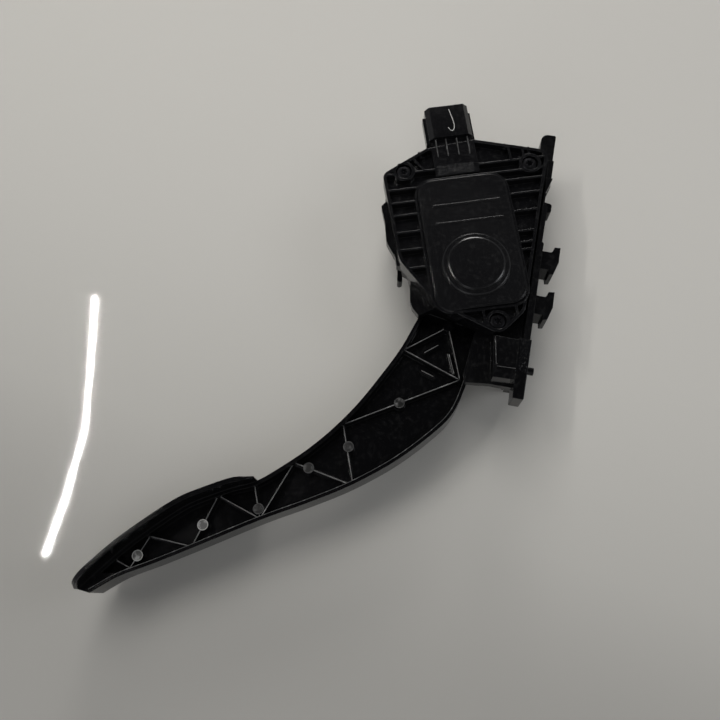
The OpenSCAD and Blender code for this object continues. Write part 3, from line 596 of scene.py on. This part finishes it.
# %% Painted highlights on the crests of the arm's ribs
RIB_TOP_X = 6.0
SHORT_RIB_X = 4.5
RIB_RUNS = [
    [(-150, -179), (-139.4, -181.9), (-134, -165.5), (-112.4, -166.2), (-106, -139.5), (-82.8, -146.5),
     (-72.5, -116)],
    [(-82.8, -146.5), (-90, -129.5)],
    [(-72.5, -116), (-40.8, -121.5), (-52.2, -91.8), (2.6, -56.8), (-29, -46), (-8, -28.8), (2.6, -56.8)],
]
SHORT_RIBS = [((-18, -45.4), (-11.3, -39.6)), ((-18.2, -55.4), (-11.2, -57.5)), ((-5.6, -43.2), (-1, -54.2))]
legs = [(run[k], run[k + 1]) for run in RIB_RUNS for k in range(len(run) - 1)]
crest_lines = [raised_line(from_pivot, leg, RIB_TOP_X, 0.24, 0.1) for leg in legs]
crest_lines += [raised_line(from_pivot, rib, SHORT_RIB_X, 0.22, 0.1, aside=0.35) for rib in SHORT_RIBS]
crest_lines.append(raised_line(from_pivot, SHORT_RIBS[-1], SHORT_RIB_X, 0.18, 0.1, aside=-0.45))
crests = make_mesh("rib_crest_highlights", *join_shapes(both_sides(crest_lines)), "pedal", crest_highlight)
print("crests on", len(legs), "legs:", len(crests.data.polygons), "faces")

# %% [markdown]
# The pocket's lip runs along the inner edge of the heel flange, and its pale line is a painted highlight. The
# line follows the heel's outline and is moved inwards on the flange's top, so it needs no outline of its own.

# %% Lip of the arm's pocket
FLANGE_TOP_X = 9.0
LIP_INWARDS = -1.8
HEEL_LINE = [(8.6, -30), (7.2, -48), (5.6, -62), (2.2, -75), (-4.6, -86), (-21, -104.5), (-40.5, -121),
             (-60, -134), (-82, -147.3), (-111, -166.6), (-129, -178.3), (-143, -187), (-154.2, -196.8)]
lip_line = raised_line(from_pivot, HEEL_LINE, FLANGE_TOP_X, 0.17, 0.08, aside=LIP_INWARDS)
pocket_lip = make_mesh("pocket_lip_highlight", *join_shapes(both_sides([lip_line])), "pedal", faint_crest_highlight)
print("pocket lip:", len(pocket_lip.data.polygons), "faces")

# %% [markdown]
# Two edges of the square block below the sensor housing get the same pale painted highlight, and take the
# same line.
# The block belongs to the bracket and doesn't lean, so its places are given in the pedal's own directions.

# %% Painted highlights on the edges of the lower block
LUG_FACE_X = 26.5
BLOCK_EDGES = [[(-18.0, -37.2), (-15.5, -52.0)], [(-15.0, -52.6), (-2.8, -52.1)]]


def from_side(x, y, z):
    """Place in millimetres of a point given in the pedal's own directions, all three as they are."""
    return np.stack(np.broadcast_arrays(x, y, z), axis=-1)


edge_lines = [raised_line(from_side, corners, LUG_FACE_X - 0.15, 0.16, 0.08) for corners in BLOCK_EDGES]
block_edges = make_mesh("block_edge_highlights", *join_shapes(edge_lines), "bracket", faint_crest_highlight)
print("block edges:", len(block_edges.data.polygons), "faces")

# %% [markdown]
# ## Spark-eroded patches
# Two small faces are not smooth: a band above the lid and the near face of the lower lug come from a mould
# that was left spark eroded. A bump map would look right from the front only, so the relief is real: a grid
# whose height is a product of waves that bend each other, which never repeats visibly on so small a face.

# %% Eroded patches


def eroded_patch(place, low, high, face_x, height, spacing=0.3, fine=1.0):
    """Height h |sin(2.6 a + 2.7 sin 1.3 b) sin(2.3 b + 1.7 sin 1.6 a)| over a = fine u and b = fine v."""
    u = np.linspace(low[0], high[0], int((high[0] - low[0]) / spacing) + 1)[:, None]
    v = np.linspace(low[1], high[1], int((high[1] - low[1]) / spacing) + 1)[None, :]
    a, b = fine * u, fine * v
    wave = np.abs(np.sin(2.6 * a + 2.7 * np.sin(1.3 * b)) * np.sin(2.3 * b + 1.7 * np.sin(1.6 * a)))
    top = place(face_x + 0.03 + height * wave, u + 0 * v, v + 0 * u)
    under = place(face_x - 0.1 + 0 * wave, u + 0 * v, v + 0 * u)[:, ::-1]
    rings = np.concatenate([top, under], axis=1)
    return rings.reshape(-1, 3), tube_faces(*rings.shape[:2])


eroded_nylon = plastic("eroded nylon", (0.002, 0.002, 0.0024), 0.1, 0.2, grain_depth=0.05, edge=0.0,
                       specular=0.18)
band = eroded_patch(from_sensor, (-10.6, 56.4), (9.4, 62.6), PLATE_FACE_X, 0.15, spacing=0.17, fine=1.9)
lug = eroded_patch(from_side, (-5.2, -53.4), (-0.4, -36.6), LUG_FACE_X, 0.13)
band_patch = make_mesh("eroded_band", *band, "bracket", eroded_nylon, smooth=False)
lug_patch = make_mesh("eroded_lug_face", *lug, "bracket", eroded_nylon, smooth=False)
print("patches:", len(band_patch.data.polygons), "and", len(lug_patch.data.polygons), "faces")

# %% [markdown]
# ## Camera
# The photograph looks down at the sensor side. The camera's place and directions were worked out from
# the outlines of the part, so its matrix is built from three unit vectors. They say more than three angles
# would: the back vector points from what the middle of the picture shows to the camera.

# %% Camera
VIEW_PLACE = Vector((0.368, -0.04837, -0.17156))
VIEW_BACK = Vector((0.94843, 0.09389, -0.30275))
VIEW_UP = Vector((0.31527, -0.18045, 0.93169))
VIEW_RIGHT = VIEW_UP.cross(VIEW_BACK).normalized()
camera_data = bpy.data.cameras.new("table camera")
camera_data.lens = 36.1
camera_data.sensor_width = 36.0
camera_data.clip_start = 0.01
camera = bpy.data.objects.new("table camera", camera_data)
bpy.context.collection.objects.link(camera)
turn = Matrix((VIEW_RIGHT, VIEW_BACK.cross(VIEW_RIGHT), VIEW_BACK)).transposed()
camera.matrix_world = Matrix.Translation(VIEW_PLACE) @ turn.to_4x4()
bpy.context.scene.camera = camera
print("camera at", [round(v, 3) for v in VIEW_PLACE])

# %% [markdown]
# ## Table
# The table is an upright sheet just beyond the far side, because the pedal keeps the place that it has in
# the car while the photograph shows it lying down. The sheet is wide enough that no view shows its edge
# near the part.

# %% Table's sheet
TABLE_X = -0.0295
TABLE_REACH = 2.5
SHEET_CORNERS = [(-TABLE_REACH, -TABLE_REACH), (TABLE_REACH, -TABLE_REACH), (TABLE_REACH, TABLE_REACH),
                 (-TABLE_REACH, TABLE_REACH)]
table_mesh = bpy.data.meshes.new("table")
table_mesh.from_pydata([(TABLE_X, y, z) for y, z in SHEET_CORNERS], [], [[0, 1, 2, 3]])
table = bpy.data.objects.new("table", table_mesh)
bpy.context.collection.objects.link(table)
print("table at x =", TABLE_X)

# %% [markdown]
# The paint is pale and polished, and a ramp of five greys along the sheet makes it a little darker
# towards the foot: painted shade for the light that falls off across the table. It shows only from the
# front: from behind it is see-through, so views from the other side aren't blocked. It lets the light of the
# two lamps behind it pass, which show the far side's forms in those views, and it still takes the part's own
# shadow.

# %% Table's paint
# The ramp paints shade on the sheet, darker towards the foot and lighter towards the top.
TABLE_FROM = -0.24
TABLE_TO = 0.14
TONE_TURN = math.radians(8)
FOOT_SHADE_TONE = (0.29, 0.284, 0.27, 1.0)
TOP_LIT_TONE = (0.47, 0.46, 0.437, 1.0)


def maths(tree, operation, *values):
    """Math node of an operation: each value is a socket that is linked or a number that is set."""
    node = add_node(tree, "Math")
    node.operation = operation
    for place, value in enumerate(values):
        if isinstance(value, float):
            node.inputs[place].default_value = value
        else:
            tree.links.new(value, node.inputs[place])
    return node.outputs["Value"]


table_paint, tree, paint = new_material("pale table")
set_sockets(paint, Roughness=0.035, Specular_IOR_Level=0.4)
spread = add_node(tree, "Mapping", Rotation=(TONE_TURN, 0.0, 0.0))
split = add_node(tree, "SeparateXYZ")
height = add_node(tree, "MapRange", From_Min=TABLE_FROM, From_Max=TABLE_TO)
shade = add_node(tree, "ValToRGB")
shade.color_ramp.interpolation = "B_SPLINE"
for stop, tone in ((0.14, 0.3), (0.3, 0.39), (0.6, 0.45)):
    shade.color_ramp.elements.new(stop).color = (tone, tone * 0.98, tone * 0.93, 1.0)
shade.color_ramp.elements[0].color = FOOT_SHADE_TONE
shade.color_ramp.elements[4].color = TOP_LIT_TONE
tree.links.new(add_node(tree, "TexCoord").outputs["Object"], spread.inputs["Vector"])
tree.links.new(spread.outputs["Vector"], split.inputs["Vector"])
tree.links.new(split.outputs["Z"], height.inputs["Value"])
tree.links.new(height.outputs["Result"], shade.inputs["Fac"])
tree.links.new(shade.outputs["Color"], paint.inputs["Base Color"])
side = add_node(tree, "NewGeometry").outputs["Backfacing"]
shadow_ray = add_node(tree, "LightPath").outputs["Is Shadow Ray"]
choose = add_node(tree, "MixShader")
tree.links.new(maths(tree, "MAXIMUM", side, shadow_ray), choose.inputs["Fac"])
tree.links.new(paint.outputs["BSDF"], choose.inputs[1])
tree.links.new(add_node(tree, "BsdfTransparent").outputs["BSDF"], choose.inputs[2])
tree.links.new(choose.outputs["Shader"], tree.nodes["Material Output"].inputs["Surface"])
table_mesh.materials.append(table_paint)
print("table's tones:", [round(stop.position, 2) for stop in shade.color_ramp.elements])

# %% [markdown]
# ## Lamps
# Black plastic shows its form by what it mirrors. Big soft lamps light the table and the part, and the two
# that stand in front of it, beyond the camera, are kept out of the gloss, because a wide pale reflection
# would turn the flat faces grey. Two lamps stand behind the table for the views from there.

# %% Soft lamps
MIDDLE = (0.0, -0.09, -0.05)
SOFT_LAMPS = [
    ("ceiling panel", (0.75, -0.25, 1.5), 0.5, 9.0, (1.0, 0.98, 0.95), True),
    ("window side", (0.9, 0.95, 0.2), 0.5, 3.0, (0.95, 0.97, 1.0), True),
    ("low window", (0.35, -0.35, -1.1), 0.8, 3.0, (0.97, 0.98, 1.0), True),
    ("soft front light", (1.35, -0.4, 0.55), 0.9, 13.0, (1.0, 0.985, 0.96), False),
    ("soft low fill", (1.3, -0.05, -0.7), 0.9, 4.0, (0.98, 0.99, 1.0), False),
    ("far side upper lamp", (-1.2, 0.5, 0.7), 0.7, 9.0, (1.0, 1.0, 1.0), True),
    ("far side lower lamp", (-1.2, -0.6, -0.4), 0.7, 6.0, (1.0, 1.0, 1.0), True),
]


def area_light(name, place, size, power, colour):
    """Square lamp at a place in metres that faces the part's middle."""
    data = bpy.data.lights.new(name, "AREA")
    data.size = size
    data.energy = power
    data.color = colour
    lamp = bpy.data.objects.new(name, data)
    bpy.context.collection.objects.link(lamp)
    facing = (Vector(place) - Vector(MIDDLE)).to_track_quat("Z", "Y").to_matrix()
    lamp.matrix_world = Matrix.Translation(place) @ facing.to_4x4()
    return lamp


for name, place, size, power, colour, in_gloss in SOFT_LAMPS:
    area_light(name, place, size, power, colour).visible_glossy = in_gloss
print("soft lamps:", len(SOFT_LAMPS))

# %% [markdown]
# The polished table mirrors a long lamp of the room as a bright streak that bends a little. The table here
# is flat, so the bend is in the lamp: four narrow lamps in a chain. Each is a rectangle whose length lies
# along its piece of the chain, and whose face turns towards the part as far as that lets it.

# %% Strip lamps
STRIP_CORNERS = [(1.4, -0.991, 0.452), (1.4, -0.95, 0.301), (1.4, -0.898, 0.085), (1.4, -0.89, -0.098),
                 (1.4, -0.895, -0.237)]
STRIP_WIDTH = 0.008
STRIP_POWER = 1.3
for number, (start, end) in enumerate(zip(STRIP_CORNERS[:-1], STRIP_CORNERS[1:]), start=1):
    start, end = Vector(start), Vector(end)
    lamp = area_light(f"strip lamp {number}", (start + end) / 2, STRIP_WIDTH, STRIP_POWER, (1.0, 0.98, 0.94))
    lamp.data.shape = "RECTANGLE"
    lamp.data.size_y = (end - start).length
    along = (end - start).normalized()
    back = (lamp.location - Vector(MIDDLE)).normalized()
    across = along.cross(back).normalized()
    facing = Matrix((across, along, across.cross(along))).transposed()
    lamp.matrix_world = Matrix.Translation(lamp.location) @ facing.to_4x4()

# %% [markdown]
# ## Room
# The room is pale to the eye and in the plastic's gloss, but gives almost no light of its own, because the
# lamps do that. Behind the photographer the room is dim. Faces that lie flat on the table mirror just that
# part, so they stay black, while rounded edges mirror the pale walls and shine.

# %% Room
TO_PHOTOGRAPHER = (0.948, -0.094, 0.303)
WALL_TONE = 0.38
LEAST_LIGHT = 0.035
world = bpy.data.worlds.new("room")
world.use_nodes = True
room = world.node_tree
walls = set_sockets(room.nodes["Background"], Color=(0.98, 0.985, 1.0, 1.0))
ray = add_node(room, "LightPath").outputs
towards = add_node(room, "VectorMath")
towards.operation = "DOT_PRODUCT"
towards.inputs[1].default_value = TO_PHOTOGRAPHER
room.links.new(add_node(room, "TexCoord").outputs["Generated"], towards.inputs[0])
dim = add_node(room, "MapRange", From_Min=0.62, From_Max=0.88, To_Min=0.3, To_Max=0.02)
room.links.new(towards.outputs["Value"], dim.inputs["Value"])
mirrored = maths(room, "ADD", ray["Is Glossy Ray"], ray["Is Transmission Ray"])
in_mirrors = maths(room, "MULTIPLY", mirrored, dim.outputs["Result"])
seen = maths(room, "MULTIPLY_ADD", ray["Is Camera Ray"], WALL_TONE, in_mirrors)
room.links.new(maths(room, "MAXIMUM", seen, LEAST_LIGHT), walls.inputs["Strength"])
bpy.context.scene.world = world
bpy.context.scene.view_settings.view_transform = "Standard"
print("room:", len(room.nodes), "nodes")
